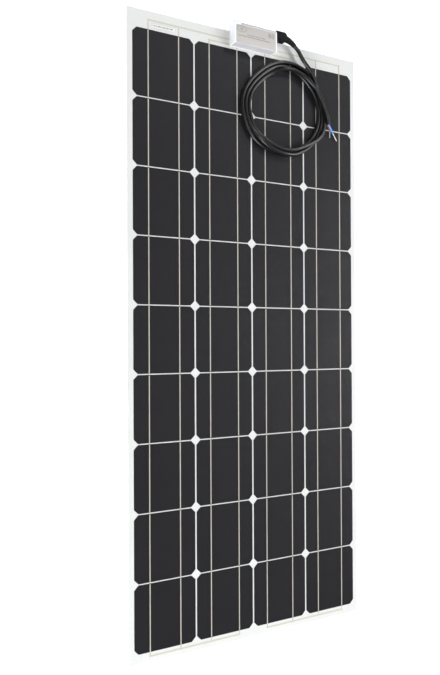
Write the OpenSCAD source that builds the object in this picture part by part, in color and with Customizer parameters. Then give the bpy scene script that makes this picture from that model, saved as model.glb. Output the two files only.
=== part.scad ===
// Flexible solar sheet with an edge junction box and a coiled lead.
// +Z is the sunny side, +Y points to the junction box, and the origin is at the middle of the
// underside of the laminated sheet.

/* [Sheet] */
// Width of the laminated sheet
sheet_w = 530; // [524:1:600]
// Length of the laminated sheet
sheet_l = 1193; // [1190:1:1260]
// Thickness of the white backing panel
backing_t = 1.5; // [1:0.1:3]
// Thickness of the encapsulant under the cells
rear_encapsulant_t = 0.35; // [0.3:0.05:0.6]
// Thickness of the encapsulant from the cells' rear face up to the film
front_encapsulant_t = 0.5; // [0.45:0.05:0.8]
// Thickness of the clear front film
film_t = 0.15; // [0.1:0.05:0.3]

/* [Cells] */
// Side of the pseudo-square cell
cell_w = 125; // [123:0.5:125]
// Diameter of the round blank that trims the cell's corners
cell_blank_d = 165; // [150:1:170]
// Thickness of a cell
cell_t = 0.2; // [0.15:0.01:0.22]
// Gap between columns of cells
column_gap = 3; // [2:0.5:4]
// Gap between rows of cells
row_gap = 2; // [1.5:0.5:2.5]
// Distance of the cell block's middle from the sheet's middle, towards the plain end
cell_block_shift = 8; // [6:0.5:8]

/* [Ribbons] */
// Width of the ribbons that cross the cells
ribbon_w = 2; // [1.5:0.1:2.5]
// Thickness of those ribbons
ribbon_t = 0.15; // [0.1:0.01:0.15]
// Width of the collecting ribbons at both ends
bus_w = 3; // [2.5:0.1:3.5]
// Distance of the plain end's collecting ribbons from the cells
bus_plain_gap = 7.5; // [6:0.5:9]
// Distance of the inner strings' collecting ribbons from the cells, at the box
bus_inner_gap = 7.5; // [6:0.5:8]
// Distance of the outer strings' collecting ribbons from the cells, at the box
bus_outer_gap = 17.5; // [16:0.5:18]

/* [Junction box] */
// Length of the box along the sheet's end, with its end caps
box_l = 98; // [94:1:110]
// Width of the box across the sheet's edge
box_w = 44; // [42:1:50]
// How far the box stands out past the sheet's edge
box_overhang = 15.5; // [15:0.5:18]
// Height of the box above the sheet's sunny face
box_h = 20; // [19:0.5:26]
// Wall thickness of the aluminium body
box_wall = 2; // [1.5:0.1:2.5]
// Thickness of an end cap
cap_t = 2.5; // [2:0.1:3]
// Radius of the box's outer long edge
box_edge_r = 8; // [5:0.5:9]

/* [Lead] */
// Diameter of the two-core lead
lead_d = 8; // [7.8:0.1:8]
// Diameter of an insulated core
core_d = 3; // [2.5:0.1:3]
// Diameter of the tinned end of a core
tinned_d = 1.8; // [1.5:0.1:2]
// Outer radius of the coil
coil_r = 105; // [102:1:106]
// Inner radius of the coil
coil_inner_r = 72; // [70:1:78]

/* [Hidden] */
columns = 4;
rows = 9;
cable_sides = 12;
core_sides = 10;

// Heights of the layers
rear_z = backing_t;
cell_z = rear_z + rear_encapsulant_t;
cell_top_z = cell_z + cell_t;
film_z = cell_z + front_encapsulant_t;
face_z = film_z + film_t;

// The cell block
column_pitch = cell_w + column_gap;
row_pitch = cell_w + row_gap;
block_end = (rows * row_pitch - row_gap) / 2;
top_cells_y = block_end - cell_block_shift;
plain_cells_y = -block_end - cell_block_shift;
bus_inner_y = top_cells_y + bus_inner_gap;
bus_outer_y = top_cells_y + bus_outer_gap;
bus_plain_y = plain_cells_y - bus_plain_gap;
bus_t = cell_t;
ribbon_inset = 1;
function column_x(c) = (c - (columns - 1) / 2) * column_pitch;
function row_y(r) = ((rows - 1) / 2 - r) * row_pitch - cell_block_shift;
function ribbon_x(c, side) = column_x(c) + side * cell_w / 4;
function flow(c) = c % 2 == 0 ? 1 : -1;

// The junction box
adhesive_t = 0.5;
box_top_y = sheet_l / 2 + box_overhang;
box_y = box_top_y - box_w;
box_base_z = face_z + adhesive_t;
box_top_z = face_z + box_h;
edge_gap = 0.5;
body_l = box_l - 2 * cap_t;
flange_w = 4;
flange_t = 2;
plate_t = 0.3;
lip_l = 14;
lip_t = 1.8;
board_z = face_z + 3.5;
board_t = 1.6;
board_y = [box_y + 6, sheet_l / 2 - 4.5];
leg_w = 3;
leg_h = 9;
leg_slot = 0.6;
leg_y = bus_outer_y + 3;
leg_x = [-33, -12, 12, 33];
clip = [9, 7, 4];
diode_x = [-22.5, 22.5];
diode_d = 5;
diode_l = 9;
wire_d = 1.2;
wire_reach = 8;
post_d = 2;

// The strain relief
lead_y = box_top_y - 7.5;
lead_z = 12;
boot_x = box_l / 2;
boot_l = 27;
boot_y = [sheet_l / 2 + edge_gap, box_top_y + 0.5];
boot_z = [0.5, 21];
boot_r = 8;
bore_clearance = 0.1;
// The sleeve's diameters, at the lead's points from the first that it covers on its own
sleeve_first = 5;
sleeve_d = [11.8, 10.8, 9.8];

// The lead's middle line where it isn't coiled, starting inside the box
lead_route = [
    [41, 604.5, 12], [49, 604.5, 12], [58, 604.5, 12], [67, 604.5, 12], [76, 603.9, 12],
    [84, 602, 12], [91, 599, 12], [97.3, 595, 12.2], [102.8, 590.3, 12.8],
    [107.9, 584.6, 13.8], [113, 577, 14.5], [119, 569, 14.5], [127, 560.5, 14.5],
    [138, 550, 14.5],
];
tail_route = [
    [174, 478, 14.5], [179.3, 466, 14.5], [183.2, 454.8, 13.8], [185.8, 445.5, 13],
];
// The insulated cores past the end of the sheath, and where their tinned ends start
blue_route = [
    [186.9, 444.7, 13.2], [190.3, 441.2, 12.2], [195, 438, 9.6], [199.5, 435.1, 7],
    [202.9, 431.58, 5.5], [204.3, 429.5, 5.5],
];
brown_route = [
    [184.5, 444.1, 12.8], [186.3, 441.7, 12], [190.3, 439.5, 9.6], [193.7, 437.7, 7.2],
    [194.8, 435.3, 5.5], [194.8, 433, 5.5],
];
blue_end = [204.3, 429.5, 5.5];
blue_end_l = 16;
blue_end_turn = -56;
brown_end = [194.8, 433, 5.5];
brown_end_l = 13;
brown_end_turn = -90;
// The same two cores inside the box, from the end of the sheath to their clips
blue_inner = [[40.8, 603, 12], [36, 602, 12], [33.5, 595, 12.5], [33, leg_y + 6.5, 11.3]];
brown_inner = [
    [40.8, 606, 12.2], [30, 606.5, 13.5], [0, 605, 15], [-26, 602, 14.5],
    [-32, 597, 13], [-33, leg_y + 6.5, 11.3],
];

// The coil
coil_x = 78.5;
coil_y = 462;
coil_h = 2 * lead_d;
coil_edge_r = 4;

function cell_name(r, c) = str("cell_r", r + 1, "_c", c + 1);

// Shared shapes

// A block between two corners
module block(low, high) {
    translate(low) cube(high - low);
}

// A profile drawn in Y and Z, carried along X from x0 to x1
module along_x(x0, x1) {
    translate([x0, 0, 0]) rotate([90, 0, 90]) linear_extrude(x1 - x0) children();
}

// One layer of the sheet
module layer(z, t) {
    translate([-sheet_w / 2, -sheet_l / 2, z]) cube([sheet_w, sheet_l, t]);
}

// A section square to the route at each of its points
function unit(v) = v / norm(v);
function heading(p, i) =
    unit(p[min(i + 1, len(p) - 1)] - p[max(i - 1, 0)]);
function across(d) = unit(cross(d, [0, 0, 1]));
function ring(p, i, d, sides) =
    let (h = heading(p, i), a = across(h), b = cross(a, h))
    [for (k = [0:sides - 1]) p[i] + d / 2 * (cos(360 * k / sides) * a + sin(360 * k / sides) * b)];
function ring_quads(n, sides) =
    [for (i = [0:n - 2]) for (k = [0:sides - 1])
        [i * sides + k, i * sides + (k + 1) % sides,
         (i + 1) * sides + (k + 1) % sides, (i + 1) * sides + k]];

// A round tube swept along a route
module tube(p, d, sides) {
    last = (len(p) - 1) * sides;
    polyhedron(
        points = [for (i = [0:len(p) - 1]) each ring(p, i, d, sides)],
        faces = concat(
            [[for (k = [0:sides - 1]) sides - 1 - k]],
            ring_quads(len(p), sides),
            [[for (k = [0:sides - 1]) last + k]]
        )
    );
}

// The laminated sheet

module cell(r, c) {
    color("dimgray")
        translate([column_x(c), row_y(r), cell_z])
            intersection() {
                translate([-cell_w / 2, -cell_w / 2, 0]) cube([cell_w, cell_w, cell_t]);
                cylinder(h = cell_t, d = cell_blank_d, $fn = 96);
            }
}

// A ribbon from the front of one cell, down through the gap, to the back of the next
module ribbon_link(x, gap_y, way) {
    reach = way * (cell_w + row_gap / 2 - ribbon_inset);
    step = way * ribbon_t / 2;
    along_x(x - ribbon_w / 2, x + ribbon_w / 2)
        polygon([
            [gap_y + reach, cell_top_z], [gap_y + reach, cell_top_z + ribbon_t],
            [gap_y - step, cell_top_z + ribbon_t], [gap_y - step, cell_z],
            [gap_y - reach, cell_z], [gap_y - reach, cell_z - ribbon_t],
            [gap_y + step, cell_z - ribbon_t], [gap_y + step, cell_top_z],
        ]);
}

// A string's end, from a collecting ribbon over or under the last cell
module ribbon_end(x, bus_y, cell_far_y, in_front) {
    z = in_front ? cell_top_z : cell_z - ribbon_t;
    block(
        [x - ribbon_w / 2, min(bus_y, cell_far_y), z],
        [x + ribbon_w / 2, max(bus_y, cell_far_y), z + ribbon_t]
    );
}

module ribbons() {
    far = cell_w - ribbon_inset;
    for (c = [0:columns - 1]) for (side = [-1, 1]) {
        x = ribbon_x(c, side);
        inner = c == 1 || c == 2;
        box_bus_y = (inner ? bus_inner_y : bus_outer_y) + bus_w / 2;
        for (r = [0:rows - 2])
            ribbon_link(x, row_y(r) - row_pitch / 2, flow(c));
        ribbon_end(x, box_bus_y, top_cells_y - far, flow(c) < 0);
        ribbon_end(x, bus_plain_y - bus_w / 2, plain_cells_y + far, flow(c) > 0);
    }
}

// A collecting ribbon between two places along X
module bus_run(x0, x1, y) {
    block([x0, y - bus_w / 2, cell_z], [x1, y + bus_w / 2, cell_z + bus_t]);
}

// The short cross run and the upright leg that rises into the box
module bus_leg(x, y) {
    block([x - leg_w / 2, y - bus_w / 2, cell_z], [x + leg_w / 2, leg_y + bus_t, cell_z + bus_t]);
    block([x - leg_w / 2, leg_y, cell_z], [x + leg_w / 2, leg_y + bus_t, cell_z + leg_h]);
}

module buses() {
    half = ribbon_w / 2 + 0.5;
    for (side = [-1, 1]) {
        outer = [ribbon_x(3, 1) + half, leg_x[3]] * side;
        inner = [ribbon_x(2, 1) + half, leg_x[2]] * side;
        plain = [ribbon_x(3, 1) + half, ribbon_x(2, -1) - half] * side;
        bus_run(min(outer), max(outer), bus_outer_y);
        bus_run(min(inner), max(inner), bus_inner_y);
        bus_run(min(plain), max(plain), bus_plain_y);
        bus_leg(leg_x[3] * side, bus_outer_y);
        bus_leg(leg_x[2] * side, bus_inner_y);
    }
}

// The slots through which the legs rise
module leg_slots(z0, z1) {
    for (x = leg_x) block(
        [x - leg_w / 2 - leg_slot, leg_y - leg_slot, z0],
        [x + leg_w / 2 + leg_slot, leg_y + bus_t + leg_slot, z1]
    );
}

module back_sheet() {
    color("white") layer(0, backing_t);
}

module rear_encapsulant() {
    color("ghostwhite") difference() {
        layer(rear_z, rear_encapsulant_t);
        ribbons();
    }
}

module front_encapsulant() {
    color("azure", 0.4) difference() {
        layer(cell_z, front_encapsulant_t);
        for (r = [0:rows - 1]) for (c = [0:columns - 1]) cell(r, c);
        ribbons();
        buses();
        leg_slots(cell_z + bus_t, film_z + 1);
    }
}

module front_film() {
    color("azure", 0.3) difference() {
        layer(film_z, film_t);
        leg_slots(film_z - 1, face_z + 1);
    }
}

module cell_ribbons() {
    color("darkgray") ribbons();
}

module bus_ribbons() {
    color("darkgray") buses();
}

module serial_label() {
    label = [44, 6, 0.1];
    color("gainsboro")
        translate([column_x(0) - label[0] / 2, top_cells_y + 6, face_z]) cube(label);
}

// The junction box

// The outline of the box in Y and Z, drawn in by a wall thickness
module box_outline(inset, base_z) {
    r = box_edge_r - inset;
    front = box_y + inset;
    rear = box_top_y - inset;
    top = box_top_z - inset;
    translate([front, base_z]) square([rear - r - front, top - base_z]);
    translate([front, base_z]) square([rear - front, top - r - base_z]);
    translate([rear - r, top - r]) circle(r = r, $fn = 64);
}

// The box's outline down to the sheet, and past the sheet's edge down to the underside
module box_section() {
    box_outline(0, box_base_z);
    translate([sheet_l / 2 + edge_gap, 0])
        square([box_overhang - edge_gap, box_base_z + 1]);
}

module box_housing() {
    foot_y = sheet_l / 2 + edge_gap;
    color("silver") along_x(-body_l / 2, body_l / 2) difference() {
        box_section();
        difference() {
            box_outline(box_wall, box_wall);
            translate([box_y, 0]) square([box_wall + flange_w, box_base_z + flange_t]);
            translate([foot_y - 1, 0]) square([box_wall + 1, box_base_z + box_wall]);
        }
    }
}

// The left cap has a lip that wraps the box's outer long edge
module box_left_cap() {
    color("lightsteelblue") {
        along_x(-box_l / 2, -body_l / 2) box_section();
        along_x(-box_l / 2, -box_l / 2 + lip_l) difference() {
            translate([lip_t, 0]) box_outline(0, box_base_z);
            box_outline(0, box_base_z - 1);
            translate([box_y - 1, 0]) square([box_w - box_edge_r, box_top_z + 1]);
        }
    }
}

module box_right_cap() {
    color("lightsteelblue") difference() {
        along_x(body_l / 2, box_l / 2) box_section();
        translate([body_l / 2 - 1, lead_y, lead_z])
            rotate([0, 90, 0]) cylinder(h = cap_t + 2, r = lead_d / 2 + bore_clearance, $fn = 48);
    }
}

// The printed plate that covers the box's front
module box_label() {
    margin = 1;
    color("gainsboro")
        block(
            [-body_l / 2 + margin, box_y + margin, box_top_z],
            [body_l / 2 - margin, box_top_y - box_edge_r, box_top_z + plate_t]
        );
}

// The bead that bonds the box's front flange to the film
module box_adhesive() {
    color("white")
        block([-box_l / 2, box_y, face_z], [box_l / 2, box_y + box_wall + flange_w, box_base_z]);
}

// The bed that seals the slots and holds the board
module potting() {
    clear = 0.2;
    color("ivory") difference() {
        block([-body_l / 2 + 2, board_y[0] + 1, face_z], [body_l / 2 - 2, board_y[1], board_z]);
        for (x = leg_x) block(
            [x - leg_w / 2 - clear, leg_y - clear, face_z - 1],
            [x + leg_w / 2 + clear, leg_y + bus_t + clear, board_z + 1]
        );
    }
}

module terminal_board() {
    color("seagreen") difference() {
        block([-41, board_y[0], board_z], [41, board_y[1], board_z + board_t]);
        leg_slots(board_z - 1, board_z + board_t + 1);
    }
}

module terminal_clips() {
    z = board_z + board_t;
    slit = 0.3;
    color("goldenrod") for (x = leg_x) difference() {
        translate([x - clip[0] / 2, leg_y - clip[1] / 2, z]) cube(clip);
        block(
            [x - leg_w / 2 - slit, leg_y - slit, z - 1],
            [x + leg_w / 2 + slit, leg_y + bus_t + slit, z + clip[2] + 1]
        );
    }
}

module bypass_diodes() {
    z = board_z + board_t + diode_d / 2;
    y = board_y[0] + 4;
    color("black") for (x = diode_x) {
        translate([x - diode_l / 2, y, z]) rotate([0, 90, 0]) cylinder(h = diode_l, d = diode_d, $fn = 32);
        for (side = [-1, 1]) {
            foot = x + side * wire_reach;
            translate([foot, y, board_z + board_t]) cylinder(h = diode_d / 2 + wire_d, d = post_d, $fn = 32);
            translate([x, y, z]) rotate([0, side * 90, 0]) cylinder(h = wire_reach, d = wire_d, $fn = 16);
        }
    }
}

// The lead and its strain relief

// A round section of the tapering sleeve, square to the lead
module sleeve_station(i) {
    h = heading(lead_route, i);
    turn = atan2(h[1], h[0]);
    translate(lead_route[i]) rotate([0, 90, turn])
        cylinder(h = 0.6, d = sleeve_d[i - sleeve_first], center = true, $fn = 32);
}

module cable_boot() {
    root = [3, 14, 15];
    color("black") difference() {
        union() {
            boot_block();
            hull() {
                translate([boot_x + boot_l - root[0], boot_y[0], lead_z - root[2] / 2]) cube(root);
                sleeve_station(sleeve_first);
            }
            for (i = [sleeve_first:sleeve_first + len(sleeve_d) - 2]) hull() {
                sleeve_station(i);
                sleeve_station(i + 1);
            }
        }
        tube(lead_route, lead_d + 2 * bore_clearance, cable_sides);
    }
}

// The boot's block, with its outer corner rounded
module boot_block() {
    x1 = boot_x + boot_l;
    translate([0, 0, boot_z[0]]) linear_extrude(boot_z[1] - boot_z[0]) {
        translate([boot_x, boot_y[0]]) square([boot_l - boot_r, boot_y[1] - boot_y[0]]);
        translate([boot_x, boot_y[0]]) square([boot_l, boot_y[1] - boot_y[0] - boot_r]);
        translate([x1 - boot_r, boot_y[1] - boot_r]) circle(r = boot_r, $fn = 48);
    }
}

module cable_lead() {
    color("black") tube(lead_route, lead_d, cable_sides);
}

// The outer shape of the coil
module cable_coil() {
    width = coil_r - coil_inner_r;
    color("black") translate([coil_x, coil_y, face_z])
        rotate_extrude($fn = 96) translate([coil_inner_r, 0]) {
            square([width, coil_h - coil_edge_r]);
            translate([coil_edge_r, 0]) square([width - 2 * coil_edge_r, coil_h]);
            for (x = [coil_edge_r, width - coil_edge_r])
                translate([x, coil_h - coil_edge_r]) circle(r = coil_edge_r, $fn = 32);
        }
}

module cable_tail() {
    color("black") tube(tail_route, lead_d, cable_sides);
}

module core_blue() {
    color("deepskyblue") {
        tube(blue_route, core_d, core_sides);
        tube(blue_inner, core_d, core_sides);
    }
}

module core_brown() {
    color("sienna") {
        tube(brown_route, core_d, core_sides);
        tube(brown_inner, core_d, core_sides);
    }
}

// A straight tinned end, level with the sheet
module tinned_end(start, turn, l) {
    translate(start) rotate([0, 90, turn]) cylinder(h = l, d = tinned_d, $fn = 32);
}

module core_ends() {
    color("silver") {
        tinned_end(blue_end, blue_end_turn, blue_end_l);
        tinned_end(brown_end, brown_end_turn, brown_end_l);
    }
}

back_sheet();
rear_encapsulant();
front_encapsulant();
front_film();
for (r = [0:rows - 1]) for (c = [0:columns - 1])
    cell(r, c);
cell_ribbons();
bus_ribbons();
serial_label();
box_adhesive();
box_housing();
box_left_cap();
box_right_cap();
box_label();
potting();
terminal_board();
terminal_clips();
bypass_diodes();
cable_boot();
cable_lead();
cable_coil();
cable_tail();
core_blue();
core_brown();
core_ends();
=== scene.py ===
# %% [markdown]
# # A flexible solar sheet, its junction box and its coiled lead
# The object is a thin laminate of dark cells on a white backing. A small metal junction box
# sits over one short edge, and a black two-core lead leaves it and lies coiled on the cells.
# The laminate, cells, ribbons and the parts inside the box arrive as finished solids. This
# lesson gives them their finishes, and models again what needs rounder or finer shapes: the
# lead, its strain relief, the cores with their tinned ends, the box's shells and the print.

import math

import bmesh
import bpy
from mathutils import Euler, Matrix, Vector


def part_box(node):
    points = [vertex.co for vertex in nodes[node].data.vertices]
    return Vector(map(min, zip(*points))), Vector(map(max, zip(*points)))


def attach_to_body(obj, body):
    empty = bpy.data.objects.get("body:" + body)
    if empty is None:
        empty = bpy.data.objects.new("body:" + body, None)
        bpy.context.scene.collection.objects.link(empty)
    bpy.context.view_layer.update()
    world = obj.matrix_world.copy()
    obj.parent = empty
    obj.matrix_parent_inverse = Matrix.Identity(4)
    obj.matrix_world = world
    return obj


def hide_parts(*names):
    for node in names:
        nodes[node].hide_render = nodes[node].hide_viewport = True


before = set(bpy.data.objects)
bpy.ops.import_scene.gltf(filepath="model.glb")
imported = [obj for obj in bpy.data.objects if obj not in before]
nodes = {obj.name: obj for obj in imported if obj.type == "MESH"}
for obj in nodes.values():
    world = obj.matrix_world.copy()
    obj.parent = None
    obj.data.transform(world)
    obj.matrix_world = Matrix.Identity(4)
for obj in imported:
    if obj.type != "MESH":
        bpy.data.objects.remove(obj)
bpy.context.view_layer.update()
MM = 0.001


def metres(points):
    """Points that are written in millimetres, as vectors in metres."""
    return [Vector(p) * MM for p in points]


def rounded(numbers, places=4):
    return tuple(round(v, places) for v in numbers)


# %% [markdown]
# ## The camera
# The sheet lies flat and is seen from above its left long side. A camera is set by a place, a
# turn and a focal length. An aimed camera with an empty as its target would also do, but three
# Euler angles say the same without another object, and they keep the small roll of the view.

# %% Place the camera
CAMERA_PLACE = Vector((-745.5, -13.7, 1180.7)) * MM
CAMERA_TURN = Euler([math.radians(a) for a in (0.548, -29.673, -0.292)])
FOCAL_LENGTH = 37.35

camera_data = bpy.data.cameras.new("camera")
camera_data.lens = FOCAL_LENGTH
camera_data.clip_start = 0.02
camera = bpy.data.objects.new("camera", camera_data)
camera.location = CAMERA_PLACE
camera.rotation_euler = CAMERA_TURN
bpy.context.scene.collection.objects.link(camera)
bpy.context.scene.camera = camera
print("camera", rounded(camera.location, 3), "lens", camera_data.lens)

# %% [markdown]
# ## The lead
# A round rubber-sheathed cable of 8 mm leaves the box, swings down past the sheet's edge, and
# lies in almost three turns of about 185 mm across. The turns cross each other in long low
# humps, and the free end comes over the top of the coil and off its right side. A cable keeps
# its length, so the shape is one line: a list of points where it isn't coiled, and a loop that
# works out the turns. Angles are in degrees, count clockwise from +Y round the coil's middle,
# and go on past 360 from turn to turn. The coil isn't quite round: it is pressed in a little at
# its upper left and lower right.

# %% Work out the coil's turns
LEAD_D = 8.0
COIL_MIDDLE = Vector((78.0, 462.0))
FIRST_R = 94.0
# from one angle to another, the line moves this much outwards
RADIUS_CHANGES = ((350, 390, -8.0), (520, 600, 16.0), (822, 872, -16.0))
# round this angle, fully up to one distance and not at all past another, it is pressed in
PRESSES = ((335, 25, 65, 3.0), (155, 5, 60, 2.0))
FLAT_ANGLE, FLAT_REACH, FLATTENING = 322.0, 60.0, 4.5
# angles where the line starts to rise, is up, starts to fall and is down again
CROSSINGS = ((155, 185, 215, 245), (812, 840, 925, 955))
LAST_RISE = (1050, 1080)
LOW_LINE, HIGH_LINE = 6.5, 14.5


def ramp(angle, start, end):
    """A smooth rise from 0 to 1 between two angles."""
    t = min(max((angle - start) / (end - start), 0.0), 1.0)
    return t * t * (3 - 2 * t)


def angle_between(angle, other):
    return abs((angle - other + 180) % 360 - 180)


def turn_radius(angle):
    """Distance of the cable's line from the coil's middle, in mm: it starts on the coil's mean
    circle, goes to the inside, comes out round the others and ends on the inside again."""
    radius = FIRST_R
    for start, end, change in RADIUS_CHANGES:
        radius += change * ramp(angle, start, end)
    for middle, full, none, press in PRESSES:
        radius -= press * (1 - ramp(angle_between(angle, middle), full, none))
    off_flat = angle_between(angle, FLAT_ANGLE)
    if off_flat < FLAT_REACH:
        radius -= FLATTENING * (1 + math.cos(math.pi * off_flat / FLAT_REACH))
    return radius


def turn_height(angle):
    """Height of the cable's line, in mm. It lies on the sheet and rises to cross a turn, and
    its last stretch stays up, on top of the others."""
    up = ramp(angle, *LAST_RISE)
    for rise, risen, fall, fallen in CROSSINGS:
        up += ramp(angle, rise, risen) - ramp(angle, fall, fallen)
    return LOW_LINE + (HIGH_LINE - LOW_LINE) * up


def coil_point(angle):
    a = math.radians(angle)
    r = turn_radius(angle)
    return (
        COIL_MIDDLE.x + r * math.sin(a),
        COIL_MIDDLE.y + r * math.cos(a),
        turn_height(angle),
    )


COIL_START, COIL_END, COIL_POINTS = 75.0, 1090.0, 71
coil_line = [
    coil_point(COIL_START + (COIL_END - COIL_START) * i / (COIL_POINTS - 1))
    for i in range(COIL_POINTS)
]
print("coil points:", len(coil_line))

# %% [markdown]
# The line's other stretches are listed as points: out of the box and down to the coil, and the
# free end that crosses the coil and ends where the sheath is cut back. A Bezier curve with
# automatic handles passes smoothly through every point, and its bevel makes the round sheath.
# Skinned edges would make a tube too, but they swell where the line bends.

# %% Join the lead's stretches into one line
LEAD_OUT = [
    (41, 604.5, 12), (49, 604.5, 12), (58, 604.5, 12), (67, 604.5, 12), (76, 603.9, 12),
    (84, 602, 12), (91, 599, 12), (97.3, 595, 12.2), (102.8, 590.3, 12.8),
    (107.9, 584.6, 13.8), (113, 577, 14.5), (119, 569, 14.5), (127, 560.5, 14.5),
    (138, 550, 14.5), (146.5, 537.5, 14.5), (152.6, 524.2, 13.2), (159.9, 508.8, 9.4),
]
LEAD_TAIL = [
    (107.5, 540.8, 14.5), (121.5, 535.8, 14.5), (134.5, 528.3, 14.8), (146.3, 518.9, 15.5),
    (156.4, 507, 16.8), (165.7, 493.7, 15.5), (174, 478, 14.5), (179.3, 466, 14.5),
    (183.2, 454.8, 13.8), (185.8, 445.5, 13),
]
lead_line = metres(LEAD_OUT + coil_line + LEAD_TAIL)


def round_line(name, points, diameter, resolution=5, sides=5, radii=None):
    """A curve through the points, with a round section that radii scales at each point."""
    data = bpy.data.curves.new(name, "CURVE")
    data.dimensions = "3D"
    data.resolution_u = resolution
    data.bevel_depth = diameter / 2
    data.bevel_resolution = sides
    data.use_fill_caps = True
    spline = data.splines.new("BEZIER")
    spline.bezier_points.add(len(points) - 1)
    for i, (place, point) in enumerate(zip(points, spline.bezier_points)):
        point.co = place
        point.handle_left_type = point.handle_right_type = "AUTO"
        point.radius = radii[i] if radii else 1.0
    piece = bpy.data.objects.new(name, data)
    bpy.context.scene.collection.objects.link(piece)
    return piece


lead = round_line("lead", lead_line, LEAD_D * MM, resolution=4, sides=6)
print("lead points:", len(lead_line))

# %% [markdown]
# ## Helpers for modelling
# Operators act on whatever is selected, so each helper first clears the selection and then
# selects one piece. Faces and edges are picked in code, by their place or direction.


# %% Selecting, editing and applying
def only(*pieces):
    """Selects these pieces alone; the first is the active one."""
    bpy.ops.object.select_all(action="DESELECT")
    for piece in pieces:
        piece.select_set(True)
    bpy.context.view_layer.objects.active = pieces[0]


def start_edit(piece, what="FACE"):
    """Edit mode with nothing selected."""
    only(piece)
    bpy.ops.object.mode_set(mode="EDIT")
    bpy.ops.mesh.select_mode(type=what)
    bpy.ops.mesh.select_all(action="DESELECT")


def end_edit():
    bpy.ops.object.mode_set(mode="OBJECT")


def pick_faces(piece, wanted):
    """Selects the faces whose middle and normal pass the test, and gives their number."""
    shape = bmesh.from_edit_mesh(piece.data)
    found = [f for f in shape.faces if wanted(f.calc_center_median(), f.normal)]
    for f in found:
        f.select_set(True)
    bmesh.update_edit_mesh(piece.data)
    return len(found)


def pick_edges(piece, wanted):
    """Selects the edges whose two ends pass the test, and gives their number."""
    shape = bmesh.from_edit_mesh(piece.data)
    found = [e for e in shape.edges if wanted(e.verts[0].co, e.verts[1].co)]
    for e in found:
        e.select_set(True)
    bmesh.update_edit_mesh(piece.data)
    return len(found)


def apply_modifier(piece, kind, **values):
    """Adds a modifier with these values and applies it."""
    only(piece)
    modifier = piece.modifiers.new(kind.lower(), kind)
    for key, value in values.items():
        setattr(modifier, key, value)
    bpy.ops.object.modifier_apply(modifier=modifier.name)


def settle(piece):
    """Puts the piece's place, turn and size into its mesh."""
    only(piece)
    bpy.ops.object.transform_apply(location=True, rotation=True, scale=True)


def made_mesh(piece):
    """Turns a curve into a mesh."""
    only(piece)
    bpy.ops.object.convert(target="MESH")
    return bpy.context.view_layer.objects.active


def joined(name, pieces):
    """Joins meshes into one piece."""
    only(*pieces)
    if len(pieces) > 1:
        bpy.ops.object.join()
    piece = bpy.context.view_layer.objects.active
    piece.name = piece.data.name = name
    return piece


def smooth(piece, degrees=35):
    only(piece)
    bpy.ops.object.shade_smooth_by_angle(angle=math.radians(degrees))


def block(low, high):
    """A box between two corners, from a cube primitive."""
    low, high = Vector(low), Vector(high)
    bpy.ops.mesh.primitive_cube_add(size=1, location=(low + high) / 2, scale=high - low)
    piece = bpy.context.view_layer.objects.active
    settle(piece)
    return piece


print("modelling helpers are ready")

# %% [markdown]
# ## The cores and the cut end of the sheath
# The outer sheath is cut back square, and a blue and a brown insulated core come out of it,
# curve apart and lie down on the sheet. Inside the box the same two cores run to their clips.
# Each core is a bevelled curve like the lead, turned into a mesh, and the two stretches of one
# colour are one piece.

# %% Model the insulated cores
CORE_D = 3.0
BLUE_OUT = [
    (186.2, 446.1, 13.2), (186.9, 444.7, 13.2), (190.3, 441.2, 12.2), (195, 438, 9.6),
    (199.5, 435.1, 7), (202.9, 431.58, 5.5), (204.3, 429.5, 5.5),
]
BROWN_OUT = [
    (184.2, 445.7, 12.8), (184.5, 444.1, 12.8), (186.3, 441.7, 12), (190.3, 439.5, 9.6),
    (193.7, 437.7, 7.2), (194.8, 435.3, 5.5), (194.8, 433, 5.5),
]
BLUE_INSIDE = [(40.8, 603, 12), (36, 602, 12), (33.5, 595, 12.5), (33, 589.5, 11.3)]
BROWN_INSIDE = [
    (40.8, 606, 12.2), (30, 606.5, 13.5), (0, 605, 15), (-26, 602, 14.5),
    (-32, 597, 13), (-33, 589.5, 11.3),
]


def insulated_core(name, *routes):
    stretches = [
        made_mesh(round_line(f"{name}_{i}", metres(route), CORE_D * MM, resolution=6, sides=4))
        for i, route in enumerate(routes)
    ]
    piece = joined(name, stretches)
    smooth(piece, 50)
    return piece


blue_core = insulated_core("blue_core", BLUE_OUT, BLUE_INSIDE)
brown_core = insulated_core("brown_core", BROWN_OUT, BROWN_INSIDE)
print("cores:", len(blue_core.data.polygons), len(brown_core.data.polygons), "faces")

# %% [markdown]
# The stripped ends are twisted strands, fused by tin. A ring of points with seven soft lobes is
# carried forward and turned by the Screw modifier, which leaves the twist in the geometry. A
# bump pattern would give the twist too, but not in the outline.

# %% Model the tinned ends
TINNED_D = 1.8
TINNED_LOBES, LOBE_DEPTH = 7, 0.11
TWIST_PER_MM = 24.0
BLUE_TIP = ((204.3, 429.5, 5.5), -56.0, 16.0)
BROWN_TIP = ((194.8, 433, 5.5), -90.0, 13.0)


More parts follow.
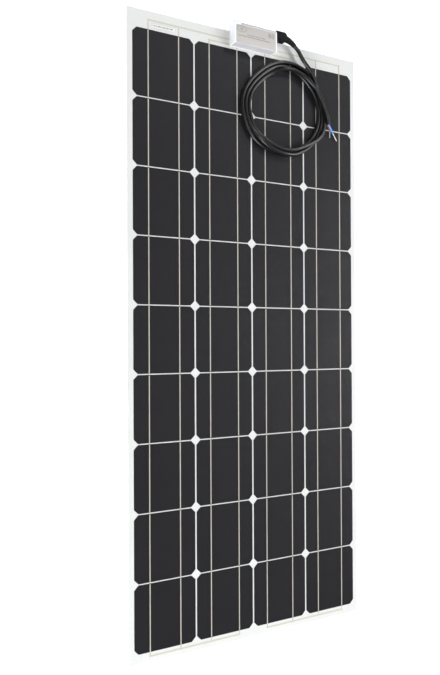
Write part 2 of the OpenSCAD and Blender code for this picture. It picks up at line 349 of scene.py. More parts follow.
def tinned_tip(name, start, turn, length):
    """A twisted bundle from start, level with the sheet, in the direction of turn."""
    bpy.ops.mesh.primitive_circle_add(vertices=42, radius=TINNED_D / 2 * MM, fill_type="NOTHING")
    piece = bpy.context.view_layer.objects.active
    piece.name = name
    for corner in piece.data.vertices:
        around = math.atan2(corner.co.y, corner.co.x)
        corner.co *= 1 - LOBE_DEPTH * (1 - abs(math.cos(TINNED_LOBES * around / 2)))
    apply_modifier(
        piece, "SCREW", axis="Z", angle=math.radians(TWIST_PER_MM * length),
        screw_offset=length * MM, steps=40, render_steps=40, use_merge_vertices=False,
    )
    start_edit(piece, "EDGE")
    bpy.ops.mesh.select_non_manifold()
    bpy.ops.mesh.edge_face_add()
    bpy.ops.mesh.select_all(action="SELECT")
    bpy.ops.mesh.normals_make_consistent(inside=False)
    end_edit()
    piece.matrix_world = (
        Matrix.Translation(Vector(start) * MM)
        @ Matrix.Rotation(math.radians(turn), 4, "Z")
        @ Matrix.Rotation(math.radians(90), 4, "Y")
    )
    settle(piece)
    return piece


tinned_ends = joined(
    "tinned_ends", [tinned_tip("blue_tip", *BLUE_TIP), tinned_tip("brown_tip", *BROWN_TIP)]
)
smooth(tinned_ends, 60)
print("tinned ends:", len(tinned_ends.data.polygons), "faces")

# %% [markdown]
# Where the sheath is cut, its wall stands a little proud of the filler round the cores. A short
# collar, inset at its end and pushed in, shows that wall.

# %% Model the cut end of the sheath
CUT_L, CUT_PROUD, SHEATH_WALL, FILLER_DEPTH = 5.0, 0.6, 1.1, 0.5
COLLAR_R = LEAD_D / 2 + 0.05
cut_end = Vector(LEAD_TAIL[-1]) * MM
cut_way = (cut_end - Vector(LEAD_TAIL[-2]) * MM).normalized()
bpy.ops.mesh.primitive_cylinder_add(
    vertices=40,
    radius=COLLAR_R * MM,
    depth=CUT_L * MM,
    location=cut_end - cut_way * (CUT_L / 2 - CUT_PROUD) * MM,
    rotation=cut_way.to_track_quat("Z", "Y").to_euler(),
)
sheath_cut = bpy.context.view_layer.objects.active
sheath_cut.name = "sheath_cut"
settle(sheath_cut)
start_edit(sheath_cut)
pick_faces(sheath_cut, lambda middle, normal: normal.dot(cut_way) > 0.9)
bpy.ops.mesh.inset(thickness=SHEATH_WALL * MM)
bpy.ops.transform.translate(value=-cut_way * FILLER_DEPTH * MM)
end_edit()
smooth(sheath_cut)
print("cut end at", rounded(cut_end))

# %% [markdown]
# ## The strain relief
# A moulded rubber boot sits at the box's right end. Its block has one large rounded corner, and
# a tapering sleeve follows the lead round the bend so that the bend never gets sharp. The block
# is a cube whose corner is bevelled, and the sleeve is a curve, partly through the lead's own
# points, whose section shrinks from point to point. Sculpting one form would hide the crisp
# step between them.

# %% Model the boot
BOOT_L, BOOT_CORNER, BOOT_SOFT = 27.0, 8.0, 1.0
EDGE_GAP = 0.5
boot_low, boot_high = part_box("cable_boot")
sheet_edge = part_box("back_sheet")[1].y
cap_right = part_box("box_right_cap")[1].x
block_low = Vector((cap_right, sheet_edge + EDGE_GAP * MM, boot_low.z))
block_high = Vector((cap_right + BOOT_L * MM, boot_high.y, boot_high.z))
boot_block = block(block_low, block_high)
start_edit(boot_block, "EDGE")
pick_edges(
    boot_block,
    lambda a, b: min(a.x, b.x) > block_high.x - MM and min(a.y, b.y) > block_high.y - MM,
)
bpy.ops.mesh.bevel(offset=BOOT_CORNER * MM, segments=10, affect="EDGES")
end_edit()
apply_modifier(
    boot_block, "BEVEL", width=BOOT_SOFT * MM, segments=3, limit_method="ANGLE",
    angle_limit=math.radians(40),
)

SLEEVE_START = [(69, 604, 12), (76, 603.6, 12)]
SLEEVE_END = [(99.2, 593.5, 12.4)]
SLEEVE_R = [7.2, 6.9, 6.0, 5.3, 4.8, 4.6]
sleeve_line = metres(SLEEVE_START + LEAD_OUT[5:8] + SLEEVE_END)
sleeve = made_mesh(round_line("sleeve", sleeve_line, 2 * MM, radii=SLEEVE_R, sides=8))
lead_boot = joined("lead_boot", [boot_block, sleeve])
smooth(lead_boot, 40)
print("boot", rounded(block_low), rounded(block_high))

# %% [markdown]
# ## The box's shells
# The body is a length of extruded aluminium, closed by two moulded end caps. The solids have
# the right shape but razor-sharp edges, and no real edge is: a small radius catches the light.
# A copy of each solid is merged, its flat triangles are dissolved into whole faces, and the
# Bevel modifier rounds what is left.


# %% Round the box's edges
def softened(node, name, radius, segments=2):
    """A node's shape as a new piece whose sharp edges are rounded."""
    piece = bpy.data.objects.new(name, nodes[node].data.copy())
    bpy.context.scene.collection.objects.link(piece)
    piece.data.name = name
    start_edit(piece, "VERT")
    bpy.ops.mesh.select_all(action="SELECT")
    bpy.ops.mesh.remove_doubles(threshold=0.002 * MM)
    bpy.ops.mesh.dissolve_limited(angle_limit=math.radians(0.5))
    end_edit()
    apply_modifier(
        piece, "BEVEL", width=radius * MM, segments=segments, limit_method="ANGLE",
        angle_limit=math.radians(40),
    )
    smooth(piece, 35)
    return piece


box_body = softened("box_housing", "box_body", 0.35)
left_cap = softened("box_left_cap", "left_cap", 0.5, 3)
right_cap = softened("box_right_cap", "right_cap", 0.5, 3)
for piece in (box_body, left_cap, right_cap):
    print(piece.name, len(piece.data.polygons), "faces")

# %% [markdown]
# A bead of white sealant bonds the box's flange to the film and squeezes out a little all round
# it. It is the solid bead with a thin uneven rope of sealant laid along its visible sides.

# %% Model the sealant bead
BEAD_D, BEAD_LIFT = 1.7, 0.25
FRONT_STEP, SIDE_STEP, SIDE_POINTS = 7.0, 5.0, 5
LEFT_FAR, RIGHT_NEAR = 26.0, 6.0
FRONT_WAVER, THICKNESS_WAVER = 0.15, 0.16
bead_low, bead_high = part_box("box_adhesive")
bead_z = bead_low.z / MM + BEAD_LIFT


def uneven(i):
    """A small repeatable waver, between -1 and 1."""
    return math.sin(2.3 * i) * math.cos(0.9 * i + 1)


left_x, right_x, front_y = bead_low.x / MM, bead_high.x / MM, bead_low.y / MM
front_count = round((bead_high.x - bead_low.x) / MM / FRONT_STEP)
bead_line = [(left_x, front_y + LEFT_FAR - SIDE_STEP * i, bead_z) for i in range(SIDE_POINTS)]
bead_line += [
    (left_x + FRONT_STEP * i, front_y + FRONT_WAVER * uneven(i), bead_z)
    for i in range(front_count + 1)
]
bead_line += [(right_x, front_y + RIGHT_NEAR + SIDE_STEP * i, bead_z) for i in range(SIDE_POINTS)]
bead_radii = [1 + THICKNESS_WAVER * uneven(i) for i in range(len(bead_line))]
bead_rope = made_mesh(
    round_line("bead_rope", metres(bead_line), BEAD_D * MM, radii=bead_radii, sides=3)
)
sealant_bead = joined("sealant_bead", [softened("box_adhesive", "bead_bed", 0.1), bead_rope])
smooth(sealant_bead, 50)
print("sealant bead:", len(sealant_bead.data.polygons), "faces")

# %% [markdown]
# ## The clear layers
# The film and the encapsulant in front of the cells are clear, and their solids touch the cells
# and ribbons face to face. A clear face on an opaque one makes a renderer guess which comes
# first, so each layer is made again with a hair's gap below it: a slab whose underside is
# pushed up, apart from a rim along the sheet's edges that closes the laminate's side.

# %% Model the clear layers
HAIR = 0.02
RIM_W = 2.5
FILM_SOFT = 0.05
ribbon_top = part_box("cell_ribbons")[1].z
encapsulant_low, encapsulant_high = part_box("front_encapsulant")
film_low, film_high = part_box("front_film")


def clear_slab(name, low, high, hollow):
    """A slab between two corners, whose underside inside the rim is raised by hollow metres."""
    piece = block(low, high)
    piece.name = piece.data.name = name
    start_edit(piece)
    pick_faces(piece, lambda middle, normal: normal.z < -0.9)
    bpy.ops.mesh.inset(thickness=RIM_W * MM)
    bpy.ops.transform.translate(value=(0, 0, hollow))
    end_edit()
    return piece


encapsulant_base = encapsulant_low + Vector((0, 0, HAIR * MM))
encapsulant_hollow = ribbon_top - encapsulant_low.z
film_base = film_low + Vector((0, 0, HAIR * MM))
clear_front = clear_slab("clear_front", encapsulant_base, encapsulant_high, encapsulant_hollow)
film_sheet = clear_slab("film_sheet", film_base, film_high, HAIR * MM)
start_edit(film_sheet, "EDGE")
pick_edges(film_sheet, lambda a, b: min(a.z, b.z) > film_high.z - HAIR * MM)
bpy.ops.mesh.bevel(offset=FILM_SOFT * MM, segments=2, affect="EDGES")
end_edit()
print("clear layers:", rounded((encapsulant_base.z, film_base.z, film_high.z), 5))

# %% [markdown]
# ## The name plate and its print
# A thin brushed plate covers the box's front. What is printed on it is generic here: a sun in
# an oval, two rows of bars where a maker puts words, and a plus and a minus. The print is flat
# ink, a few hundredths of a millimetre thick, so the plate ends that much lower.

# %% Model the plate
INK_T = 0.04
PLATE_CORNER, PLATE_SOFT = 1.2, 0.08
plate_low, plate_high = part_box("box_label")
plate_top = plate_high.z - INK_T * MM
name_plate = block(plate_low, (plate_high.x, plate_high.y, plate_top))
name_plate.name = name_plate.data.name = "name_plate"
start_edit(name_plate, "EDGE")
pick_edges(name_plate, lambda a, b: abs(a.z - b.z) > 0.1 * MM)
bpy.ops.mesh.bevel(offset=PLATE_CORNER * MM, segments=5, affect="EDGES")
end_edit()
apply_modifier(
    name_plate, "BEVEL", width=PLATE_SOFT * MM, segments=2, limit_method="ANGLE",
    angle_limit=math.radians(50),
)
smooth(name_plate)
print("plate top at", round(plate_top, 5))

# %% [markdown]
# Three shapes make all the print: bars, oval rings and a disc. Text objects would be real
# lettering, so words are rows of bars of different lengths.

# %% Print shapes
WORD_GAP = 0.7


def ink_bar(x, y, length, height, z=None, turn=0.0):
    """A flat printed bar with its middle at x, y, in mm, standing on z."""
    base = plate_top / MM if z is None else z
    bpy.ops.mesh.primitive_cube_add(
        size=1,
        location=Vector((x, y, base + INK_T / 2)) * MM,
        rotation=(0, 0, math.radians(turn)),
        scale=Vector((length, height, INK_T)) * MM,
    )
    piece = bpy.context.view_layer.objects.active
    settle(piece)
    return piece


def ink_ring(x, y, wide, tall, line):
    """A flat printed oval line round x, y, in mm."""
    bpy.ops.mesh.primitive_cylinder_add(
        vertices=48, radius=wide / 2 * MM, depth=INK_T * MM,
        location=Vector((x, y, plate_top / MM + INK_T / 2)) * MM, scale=(1, tall / wide, 1),
    )
    piece = bpy.context.view_layer.objects.active
    settle(piece)
    start_edit(piece)
    pick_faces(piece, lambda middle, normal: abs(normal.z) > 0.9)
    bpy.ops.mesh.inset(thickness=line * MM)
    bpy.ops.mesh.bridge_edge_loops()
    end_edit()
    return piece


def ink_disc(x, y, radius):
    bpy.ops.mesh.primitive_cylinder_add(
        vertices=32, radius=radius * MM, depth=INK_T * MM,
        location=Vector((x, y, plate_top / MM + INK_T / 2)) * MM,
    )
    piece = bpy.context.view_layer.objects.active
    settle(piece)
    return piece


def ink_words(start, end, y, height, lengths, z=None):
    """A row of bars of these lengths, repeated from start to end, like words."""
    bars, x, i = [], start, 0
    while x + lengths[i % len(lengths)] <= end:
        length = lengths[i % len(lengths)]
        bars.append(ink_bar(x + length / 2, y, length, height, z))
        x += length + height * WORD_GAP
        i += 1
    return bars


print("print shapes are ready")

# %% [markdown]
# The plate's marks are placed from the plate's own corners: the sun near the top left
# corner, the rows across the middle, and the plus and minus near the top right corner.

# %% Print the plate
left = plate_low.x / MM
top = plate_high.y / MM
SUN = (left + 12.0, top - 7.5)
SUN_RAYS, RAY_REACH, RAY_L, RAY_W = 8, 3.1, 1.6, 0.5
marks = [ink_ring(*SUN, 23, 12.5, 0.45), ink_ring(*SUN, 20.5, 10.2, 0.3), ink_disc(*SUN, 1.5)]
for ray in range(SUN_RAYS):
    angle = 2 * math.pi * ray / SUN_RAYS
    ray_x = SUN[0] + RAY_REACH * math.cos(angle)
    ray_y = SUN[1] + RAY_REACH * math.sin(angle)
    marks.append(ink_bar(ray_x, ray_y, RAY_L, RAY_W, turn=math.degrees(angle)))
ROW_TALL = 1.5
marks += ink_words(left + 24, left + 67, top - 16.8, ROW_TALL, (4.2, 2.6, 6.1, 3.3, 5.0))
marks += ink_words(left + 4.5, left + 80, top - 20.8, ROW_TALL, (5.4, 3.0, 6.6, 2.2, 4.6, 3.6))
SIGN_Y, SIGN_LINE = top - 8.0, 1.1
for sign_x, is_plus in ((left + 76.9, True), (left + 84.1, False)):
    marks.append(ink_ring(sign_x, SIGN_Y, 6.0, 9.5, SIGN_LINE))
    marks.append(ink_bar(sign_x, SIGN_Y, 3.0, SIGN_LINE))
    if is_plus:
        marks.append(ink_bar(sign_x, SIGN_Y, SIGN_LINE, 3.4))
plate_print = joined("plate_print", marks)
print("plate print:", len(marks), "marks,", len(plate_print.data.polygons), "faces")

# %% [markdown]
# A strip of label on the film carries a row of small bars in place of a number.

# %% Print the strip label
STRIP_MARGIN, STRIP_TALL = 2, 2.2
strip_low, strip_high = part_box("serial_label")
strip_marks = ink_words(
    strip_low.x / MM + STRIP_MARGIN, strip_high.x / MM - STRIP_MARGIN,
    (strip_low.y + strip_high.y) / 2 / MM, STRIP_TALL,
    (3.4, 2.0, 5.2, 2.8, 4.1), z=strip_high.z / MM,
)
strip_print = joined("strip_print", strip_marks)
print("strip print:", len(strip_marks), "bars")

# %% [markdown]
# ## Finishes
# Every finish is one Principled shader. Effects that several finishes share are node groups,
# made once: soft patches for uneven colour and handling, fine grain for moulded and embossed
# surfaces, drawn lines for rolled, brushed and extruded metal, and pale specks that are partly
# dust and partly painted glints of light. All of them read Object coordinates, so a pattern has
# the same size on every piece.


# %% Node helpers
# most of a noise's values lie in this span
NOISE_SPAN = (0.3, 0.7)


def new_node(tree, kind, **values):
    """A node with these input values."""
    node = tree.nodes.new(kind)
    for key, value in values.items():
        node.inputs[key.replace("_", " ")].default_value = value
    return node


def new_group(name, inputs, outputs):
    """An empty shader group, with its input and output nodes."""
    group = bpy.data.node_groups.new(name, "ShaderNodeTree")
    for label, kind, value in inputs:
        socket = group.interface.new_socket(label, in_out="INPUT", socket_type=kind)
        if value is not None:
            socket.default_value = value
    for label, kind in outputs:
        group.interface.new_socket(label, in_out="OUTPUT", socket_type=kind)
    return group, group.nodes.new("NodeGroupInput"), group.nodes.new("NodeGroupOutput")


def math_node(tree, operation, first, second=None):
    """A Math node; first and second are sockets or numbers."""
    node = tree.nodes.new("ShaderNodeMath")
    node.operation = operation
    for socket, value in zip(node.inputs, (first, second)):
        if value is None:
            continue
        if isinstance(value, (int, float)):
            socket.default_value = value
        else:
            tree.links.new(value, socket)
    return node.outputs[0]


def spread(tree, value, low, high, new_low=0.0, new_high=1.0):
    """Maps value from low..high to new_low..new_high, clamped."""
    node = new_node(tree, "ShaderNodeMapRange", From_Min=low, From_Max=high)
    node.inputs["To Min"].default_value = new_low
    node.inputs["To Max"].default_value = new_high
    tree.links.new(value, node.inputs["Value"])
    return node.outputs["Result"]


def blend_colors(tree, mask, first, second):
    """first where mask is 0 and second where it is 1; each a socket or an RGB triple."""
    node = tree.nodes.new("ShaderNodeMix")
    node.data_type = "RGBA"
    tree.links.new(mask, node.inputs[0])
    for socket, color in ((node.inputs[6], first), (node.inputs[7], second)):
        if isinstance(color, tuple):
            socket.default_value = (*color, 1.0)
        else:
            tree.links.new(color, socket)
    return node.outputs[2]


print("node helpers are ready")

# %% [markdown]
# The four effects come from noise and cell textures. Each group puts out a mask, and the grain
# a height too; the material decides what that mask changes.

# %% Shared effects
VECTOR = ("Vector", "NodeSocketVector", None)

patches, entry, leave = new_group(
    "soft_patches", [VECTOR, ("Scale", "NodeSocketFloat", 20.0)], [("Mask", "NodeSocketFloat")]
)
cloud = new_node(patches, "ShaderNodeTexNoise", Detail=4.0, Roughness=0.6)
patches.links.new(entry.outputs["Vector"], cloud.inputs["Vector"])
patches.links.new(entry.outputs["Scale"], cloud.inputs["Scale"])
patches.links.new(spread(patches, cloud.outputs["Fac"], 0.32, 0.68), leave.inputs["Mask"])

grain, entry, leave = new_group(
    "fine_grain",
    [VECTOR, ("Scale", "NodeSocketFloat", 900.0)],
    [("Mask", "NodeSocketFloat"), ("Height", "NodeSocketFloat")],
)
fine = new_node(grain, "ShaderNodeTexNoise", Detail=2.0, Roughness=0.55)
pits = new_node(grain, "ShaderNodeTexVoronoi")
for texture in (fine, pits):
    grain.links.new(entry.outputs["Vector"], texture.inputs["Vector"])
    grain.links.new(entry.outputs["Scale"], texture.inputs["Scale"])
both = math_node(grain, "MULTIPLY", fine.outputs["Fac"], pits.outputs["Distance"])
grain.links.new(fine.outputs["Fac"], leave.inputs["Mask"])
grain.links.new(both, leave.inputs["Height"])

lines, entry, leave = new_group(
    "drawn_lines",
    [VECTOR, ("Stretch", "NodeSocketVector", (20.0, 2500.0, 2500.0))],
    [("Mask", "NodeSocketFloat")],
)
stretched = lines.nodes.new("ShaderNodeVectorMath")
stretched.operation = "MULTIPLY"
lines.links.new(entry.outputs["Vector"], stretched.inputs[0])
lines.links.new(entry.outputs["Stretch"], stretched.inputs[1])
streak = new_node(lines, "ShaderNodeTexNoise", Scale=1.0, Detail=3.0, Roughness=0.7)
lines.links.new(stretched.outputs[0], streak.inputs["Vector"])
lines.links.new(spread(lines, streak.outputs["Fac"], *NOISE_SPAN), leave.inputs["Mask"])

# Pale specks on the rubber: some stand for dust, the rest are painted glints of light.
dust_and_glint_group, entry, leave = new_group(
    "dust_and_glint_specks",
    [VECTOR, ("Scale", "NodeSocketFloat", 260.0), ("Size", "NodeSocketFloat", 0.06)],
    [("Mask", "NodeSocketFloat")],
)
specks = new_node(dust_and_glint_group, "ShaderNodeTexVoronoi")
dust_and_glint_group.links.new(entry.outputs["Vector"], specks.inputs["Vector"])
dust_and_glint_group.links.new(entry.outputs["Scale"], specks.inputs["Scale"])
near = math_node(dust_and_glint_group, "LESS_THAN", specks.outputs["Distance"], entry.outputs["Size"])
dust_and_glint_group.links.new(near, leave.inputs["Mask"])
print("shared effects:", [g.name for g in bpy.data.node_groups])

# %% [markdown]
# Most of the finishes are one of two kinds, so each kind is a function: something moulded, in
# two near colours with a grain, or a metal with drawn lines. A value that is the same all over
# the surface goes straight on the shader.


# %% A finish and its parts
def start_finish(name, roughness, metallic=0.0, **plain):
    """A material, its tree, its shader with these plain values, and its Object coordinates."""
    material = bpy.data.materials.new(name)
    material.use_nodes = True
    tree = material.node_tree
    shader = tree.nodes["Principled BSDF"]
    shader.inputs["Roughness"].default_value = roughness
    shader.inputs["Metallic"].default_value = metallic
    for key, value in plain.items():
        shader.inputs[key.replace("_", " ")].default_value = value
    where = tree.nodes.new("ShaderNodeTexCoord").outputs["Object"]
    return material, tree, shader, where


def effect(tree, where, group, **values):
    """One of the shared effects, reading the piece's coordinates."""
    node = tree.nodes.new("ShaderNodeGroup")
    node.node_tree = group
    tree.links.new(where, node.inputs["Vector"])
    for key, value in values.items():
        node.inputs[key].default_value = value
    return node


def add_bump(tree, shader, height, depth, strength=1.0):
    """Turns a height socket into a normal; depth is in millimetres."""
    bump = new_node(tree, "ShaderNodeBump", Strength=strength, Distance=depth * MM)
    tree.links.new(height, bump.inputs["Height"])
    tree.links.new(bump.outputs["Normal"], shader.inputs["Normal"])


def moulded_finish(name, first, second, rough, patch_scale, grain_scale, depth, **plain):
    """A plastic or film: two near colours in soft patches, uneven gloss and a fine grain.
    rough is the lowest and the highest roughness."""
    material, tree, shader, where = start_finish(name, rough[0], **plain)
    mask = effect(tree, where, patches, Scale=patch_scale).outputs["Mask"]
    tree.links.new(blend_colors(tree, mask, first, second), shader.inputs["Base Color"])
    surface = effect(tree, where, grain, Scale=grain_scale)
    gloss = spread(tree, surface.outputs["Mask"], *NOISE_SPAN, *rough)
    tree.links.new(gloss, shader.inputs["Roughness"])
    add_bump(tree, shader, surface.outputs["Height"], depth)
    return material


def metal_finish(name, first, second, rough, stretch, depth, metallic, **plain):
    """A rolled, brushed or extruded metal: drawn lines in its colour, gloss and relief."""
    material, tree, shader, where = start_finish(name, rough[0], metallic, **plain)
    mask = effect(tree, where, lines, Stretch=stretch).outputs["Mask"]
    tree.links.new(blend_colors(tree, mask, first, second), shader.inputs["Base Color"])
    tree.links.new(spread(tree, mask, 0.0, 1.0, *rough), shader.inputs["Roughness"])
    add_bump(tree, shader, mask, depth)
    return material


print("finish helpers are ready")

# %% [markdown]
# ## The laminate's white and clear layers
# White shows wherever there is no cell: it is the rear encapsulant on the white backing. The
# encapsulant in front of the cells and the film over it are clear. Glass-like transmission
# would put the layers below in a false shadow, so a very low Alpha keeps them clear, and their
# gloss belongs to what lies under them.

# %% Finish the white and clear layers
backing_white = moulded_finish(
    "backing_white", (0.63, 0.64, 0.632), (0.595, 0.608, 0.602), (0.5, 0.62), 6, 700, 0.01,
    Specular_IOR_Level=0.2,
)
laminate_white = moulded_finish(
    "laminate_white", (0.635, 0.645, 0.636), (0.60, 0.613, 0.604), (0.5, 0.62), 9, 1100, 0.012,
    Specular_IOR_Level=0.2,
)
clear_encapsulant = moulded_finish(
    "clear_encapsulant", (0.6, 0.62, 0.62), (0.55, 0.57, 0.57), (0.4, 0.5), 9, 900, 0.004,
    Alpha=0.003, Specular_IOR_Level=0.2,
)
clear_film = moulded_finish(
    "clear_film", (0.62, 0.63, 0.64), (0.55, 0.56, 0.58), (0.5, 0.6), 12, 1300, 0.01,
    Alpha=0.004, Specular_IOR_Level=0.2,
)
print("white and clear layers are finished")

# %% [markdown]
# ## The cells
# A cell is nearly black silicon with dozens of hair-thin silver fingers across it, seen through
# an embossed film. Each cell was cut from its own wafer, so its tint differs a little from its
# neighbour's. The fingers repeat every 1.6 mm along Y, and a random number that is the same all
# over one cell gives the tint. The cell's pitch in each direction, in metres, finds its number.

# %% Finish the cells
COLUMN_PITCH, ROW_PITCH, BLOCK_SHIFT = 0.128, 0.127, 0.008
FINGER_PITCH, FINGER_SHARE = 0.0016, 0.08
DARK_SILICON, LIGHT_SILICON = (0.0029, 0.0026, 0.0047), (0.0048, 0.0040, 0.0061)
CLOUDED_SILICON, FINGER_SILVER = (0.0064, 0.0056, 0.0078), (0.018, 0.0165, 0.019)
solar_cell, tree, shader, where = start_finish("solar_cell", 0.5, Specular_IOR_Level=0.12)
axes = tree.nodes.new("ShaderNodeSeparateXYZ")
tree.links.new(where, axes.inputs[0])
column = math_node(tree, "FLOOR", math_node(tree, "DIVIDE", axes.outputs["X"], COLUMN_PITCH))
row_start = math_node(tree, "ADD", axes.outputs["Y"], BLOCK_SHIFT + ROW_PITCH / 2)
row = math_node(tree, "FLOOR", math_node(tree, "DIVIDE", row_start, ROW_PITCH))
cell_number = tree.nodes.new("ShaderNodeCombineXYZ")
tree.links.new(column, cell_number.inputs["X"])
tree.links.new(row, cell_number.inputs["Y"])
wafer = tree.nodes.new("ShaderNodeTexWhiteNoise")
wafer.noise_dimensions = "2D"
tree.links.new(cell_number.outputs[0], wafer.inputs["Vector"])
tinted = blend_colors(tree, wafer.outputs["Value"], DARK_SILICON, LIGHT_SILICON)
clouds = spread(tree, effect(tree, where, patches, Scale=14.0).outputs["Mask"], 0, 1, 0, 0.35)
silicon = blend_colors(tree, clouds, tinted, CLOUDED_SILICON)
along = math_node(tree, "FRACT", math_node(tree, "DIVIDE", axes.outputs["Y"], FINGER_PITCH))
finger = math_node(tree, "LESS_THAN", along, FINGER_SHARE)
fingered = blend_colors(tree, finger, silicon, FINGER_SILVER)
tree.links.new(fingered, shader.inputs["Base Color"])
emboss = effect(tree, where, grain, Scale=1000.0)
gloss = spread(tree, emboss.outputs["Mask"], *NOISE_SPAN, 0.42, 0.54)
tree.links.new(gloss, shader.inputs["Roughness"])
add_bump(tree, shader, emboss.outputs["Height"], 0.06)
print("cells are finished; fingers every", FINGER_PITCH / MM, "mm")

# %% [markdown]
# ## The ribbons
# Flat copper ribbons, dipped in solder, run over and under the cells. The solder is dull and
# slightly yellow under the film, with streaks along the ribbon, which is along Y on the cells.

# %% Finish the ribbons
cell_ribbon_tin = metal_finish(
    "cell_ribbon_tin", (0.50, 0.475, 0.42), (0.40, 0.38, 0.335), (0.5, 0.62),
    (2500.0, 60.0, 2500.0), 0.01, 0.1, Specular_IOR_Level=0.25,
)
bus_ribbon_tin = metal_finish(
    "bus_ribbon_tin", (0.56, 0.535, 0.46), (0.47, 0.45, 0.385), (0.5, 0.62),
    (60.0, 2500.0, 2500.0), 0.01, 0.1, Specular_IOR_Level=0.25,
)
print("ribbons are finished")

# %% [markdown]
# ## The box
# The body is satin anodised aluminium with fine die lines along the extrusion. The caps are
# pale moulded plastic. The plate is brushed lengthways, and its ink is a thin dark grey.

# %% Finish the box
anodised_body = metal_finish(
    "anodised_body", (0.54, 0.545, 0.575), (0.50, 0.505, 0.535), (0.42, 0.55),
    (12.0, 3000.0, 3000.0), 0.006, 0.2, Specular_IOR_Level=0.35,
)
cap_plastic = moulded_finish(
    "cap_plastic", (0.80, 0.815, 0.845), (0.75, 0.765, 0.80), (0.4, 0.55), 40, 1500, 0.02
)
brushed_plate = metal_finish(
    "brushed_plate", (0.47, 0.453, 0.433), (0.415, 0.40, 0.383), (0.5, 0.62),
    (25.0, 3500.0, 3500.0), 0.008, 0.1, Specular_IOR_Level=0.25,
)
plate_ink = moulded_finish(
    "plate_ink", (0.17, 0.165, 0.16), (0.23, 0.225, 0.22), (0.5, 0.65), 500, 3000, 0.004
)
strip_paper = moulded_finish(
    "strip_paper", (0.74, 0.74, 0.73), (0.70, 0.70, 0.69), (0.5, 0.65), 60, 2500, 0.01
)
white_sealant = moulded_finish(
    "white_sealant", (0.72, 0.72, 0.70), (0.66, 0.66, 0.64), (0.35, 0.5), 120, 900, 0.05
)
print("box is finished")

# %% [markdown]
# ## Rubber, cores and copper
# The sheath and the boot are black rubber. The sheath has the satin skin that extrusion leaves,
# with a few pale specks on it, partly dust and partly painted glints of light, and the boot is
# duller. The cores are glossy coloured plastic, and the tinned copper is bright and a little
# uneven.


# %% Finish the lead
# The specks' pale grey is partly dust and partly painted glints of light.
DUST_AND_GLINT_GREY = (0.25, 0.25, 0.24)


def rubber_with_dust_and_glints(name, first, second, rough, grain_scale, depth, speck, shine):
    """Black rubber, pale dusty specks and painted glints; speck is one's size to their spacing.
    """
    material, tree, shader, where = start_finish(name, rough[0], Specular_IOR_Level=shine)
    mask = effect(tree, where, patches, Scale=45.0).outputs["Mask"]
    black = blend_colors(tree, mask, first, second)
    # Pale specks over the black: dust, and painted glints of light.
    pale = effect(tree, where, dust_and_glint_group, Scale=170.0, Size=speck).outputs["Mask"]
    tree.links.new(blend_colors(tree, pale, black, DUST_AND_GLINT_GREY), shader.inputs["Base Color"])
    surface = effect(tree, where, grain, Scale=grain_scale)
    gloss = spread(tree, surface.outputs["Mask"], *NOISE_SPAN, *rough)
    tree.links.new(gloss, shader.inputs["Roughness"])
    add_bump(tree, shader, surface.outputs["Height"], depth)
    return material


sheath_rubber = rubber_with_dust_and_glints(
    "sheath_rubber", (0.004, 0.004, 0.0045), (0.0065, 0.0065, 0.007), (0.27, 0.35),
    grain_scale=900.0, depth=0.02, speck=0.05, shine=0.34,
)
boot_rubber = rubber_with_dust_and_glints(
    "boot_rubber", (0.005, 0.005, 0.0055), (0.009, 0.009, 0.0095), (0.55, 0.7),
    grain_scale=1300.0, depth=0.05, speck=0.03, shine=0.08,
)
blue_plastic = moulded_finish(
    "blue_plastic", (0.05, 0.30, 0.92), (0.04, 0.26, 0.82), (0.28, 0.38), 90, 900, 0.01
)
brown_plastic = moulded_finish(
    "brown_plastic", (0.34, 0.11, 0.045), (0.28, 0.09, 0.038), (0.28, 0.38), 90, 900, 0.01
)
tinned_copper = moulded_finish(
    "tinned_copper", (0.70, 0.69, 0.66), (0.58, 0.56, 0.52), (0.25, 0.42), 350, 2200, 0.03,
    Metallic=0.8,
)
print("lead is finished")

# %% [markdown]
# ## Inside the box
# Nothing of this shows, but a box that is opened or cut away should hold real materials: a
# solder-masked board, tinned brass clips, moulded diodes and pale potting compound.

# %% Finish the parts inside the box
board_green = moulded_finish(
    "board_green", (0.015, 0.11, 0.05), (0.02, 0.14, 0.065), (0.3, 0.4), 150, 1800, 0.01
)
clip_brass = metal_finish(
    "clip_brass", (0.72, 0.66, 0.48), (0.62, 0.56, 0.40), (0.22, 0.36),
    (300.0, 2500.0, 2500.0), 0.008, 0.9,
)
diode_epoxy = moulded_finish(
    "diode_epoxy", (0.012, 0.012, 0.013), (0.02, 0.02, 0.021), (0.4, 0.55), 200, 2200, 0.02
)
potting_pale = moulded_finish(
    "potting_pale", (0.60, 0.585, 0.50), (0.54, 0.525, 0.44), (0.3, 0.5), 70, 600, 0.06
)
print("materials:", len(bpy.data.materials))


# %% [markdown]
# ## Put the finishes on
# A solid that is shown gets its finish as its one material. A new piece also rides on the
# object's one body, and the solids that it stands for are hidden.

# %% Finish the solids
def wear(piece, material):
    """Gives the whole piece one material."""
    piece.data.materials.clear()
    piece.data.materials.append(material)
    for face in getattr(piece.data, "polygons", []):
        face.material_index = 0


SOLID_FINISHES = {
    "back_sheet": backing_white,
    "rear_encapsulant": laminate_white,
    "cell_ribbons": cell_ribbon_tin,
    "bus_ribbons": bus_ribbon_tin,
    "serial_label": strip_paper,
    "potting": potting_pale,
    "terminal_board": board_green,
    "terminal_clips": clip_brass,
    "bypass_diodes": diode_epoxy,
}
cells = [name for name in nodes if name.startswith("cell_r") and name != "cell_ribbons"]
for name in cells:
    wear(nodes[name], solar_cell)
for name, material in SOLID_FINISHES.items():
    wear(nodes[name], material)
print("finished solids:", len(cells) + len(SOLID_FINISHES))


# %% [markdown]
# The lead leaves the box's end cap. It, its cut end, its cores and the other new pieces all ride
# on the root body.


# %% Attach the new pieces
def attach(piece, slot, material, *stands_for):
    """Finishes a new piece, puts it on the root body, and hides the solids it stands for."""
    wear(piece, material)
    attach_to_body(piece, "root")
    if stands_for:
        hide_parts(*stands_for)


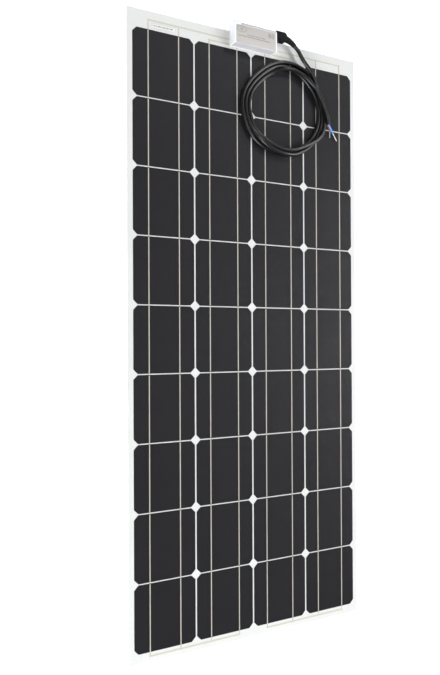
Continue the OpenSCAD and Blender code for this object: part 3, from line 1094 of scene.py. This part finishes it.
attach(lead, "sheath", sheath_rubber, "cable_lead", "cable_coil", "cable_tail")
attach(sheath_cut, "sheath", sheath_rubber)
attach(lead_boot, "boot", boot_rubber, "cable_boot")
attach(blue_core, "core_blue", blue_plastic, "core_blue")
attach(brown_core, "core_brown", brown_plastic, "core_brown")
attach(tinned_ends, "tinned_copper", tinned_copper, "core_ends")
attach(box_body, "box_body", anodised_body, "box_housing")
attach(left_cap, "box_cap", cap_plastic, "box_left_cap")
attach(right_cap, "box_cap", cap_plastic, "box_right_cap")
attach(clear_front, "encapsulant", clear_encapsulant, "front_encapsulant")
attach(film_sheet, "film", clear_film, "front_film")
attach(name_plate, "box_plate", brushed_plate, "box_label")
attach(plate_print, "box_plate", plate_ink)
attach(strip_print, "printed_label", plate_ink)
attach(sealant_bead, "sealant", white_sealant, "box_adhesive")

print("new pieces are attached")

# %% [markdown]
# ## Floor and light
# The sheet lies on a plain white floor. The key light stands beyond the sheet's top right
# corner, so shadows fall down and to the left. A wide light on the right is what the cells
# mirror, and the coil's own mirror image darkens them inside its right side. One overhead
# draws a soft line along the lead, and one low down at the bottom left lights the upright
# sides that face it. The sky is brighter near the horizon than overhead, where the cells would
# mirror it. The floor glows a little, like a lightbox, so that it stays white as the light
# falls off.

# %% Set the stage
FLOOR_SIZE, FLOOR_DROP = 16.0, 0.0003
bpy.ops.object.select_all(action="DESELECT")
bpy.ops.mesh.primitive_plane_add(size=FLOOR_SIZE, location=(0, 0, -FLOOR_DROP))
floor = bpy.context.view_layer.objects.active
floor.name = "floor"
floor_white = start_finish(
    "floor_white", 0.9, Base_Color=(0.93, 0.93, 0.93, 1), Emission_Color=(1, 1, 1, 1),
    Emission_Strength=0.35, Specular_IOR_Level=0.1,
)[0]
wear(floor, floor_white)

AIM = Vector((0.05, 0.25, 0.0))


def soft_light(name, way, distance, size, power):
    """A round soft light that stands from the aim point in the direction way."""
    data = bpy.data.lights.new(name, "AREA")
    data.shape = "DISK"
    data.size = size
    data.energy = power
    lamp = bpy.data.objects.new(name, data)
    towards = Vector(way).normalized()
    lamp.location = AIM + towards * distance
    lamp.rotation_euler = (-towards).to_track_quat("-Z", "Y").to_euler()
    bpy.context.scene.collection.objects.link(lamp)
    return lamp


lamps = [
    soft_light("key_light", (0.64, 0.90, 1.0), distance=4.8, size=1.2, power=72),
    soft_light("side_light", (0.88, -0.02, 0.56), distance=4.5, size=2.6, power=165),
    soft_light("top_light", (-0.25, -0.10, 1.0), distance=4.5, size=0.8, power=50),
    soft_light("fill_light", (-0.44, -0.84, 0.32), distance=4.2, size=2.4, power=225),
]
for lamp in lamps:
    print(lamp.name, rounded(lamp.location, 2))

# %% [markdown]
# The sky's strength falls with height: a gradient on the world's own direction is enough, and
# a flat background would leave the cells too pale.

# %% Light the sky
HORIZON_GLOW, OVERHEAD_GLOW, GLOW_HEIGHT = 0.55, 0.12, 0.75
world = bpy.data.worlds.new("sky")
world.use_nodes = True
bpy.context.scene.world = world
sky_tree = world.node_tree
sky = sky_tree.nodes["Background"]
sky_where = sky_tree.nodes.new("ShaderNodeTexCoord")
sky_axes = sky_tree.nodes.new("ShaderNodeSeparateXYZ")
sky_tree.links.new(sky_where.outputs["Generated"], sky_axes.inputs[0])
sky_light = spread(
    sky_tree, sky_axes.outputs["Z"], 0.0, GLOW_HEIGHT, HORIZON_GLOW, OVERHEAD_GLOW
)
sky_tree.links.new(sky_light, sky.inputs["Strength"])
sky.inputs["Color"].default_value = (0.98, 0.99, 1.0, 1)
bpy.context.scene.view_settings.view_transform = "Standard"
print("sky:", HORIZON_GLOW, "at the horizon,", OVERHEAD_GLOW, "overhead")
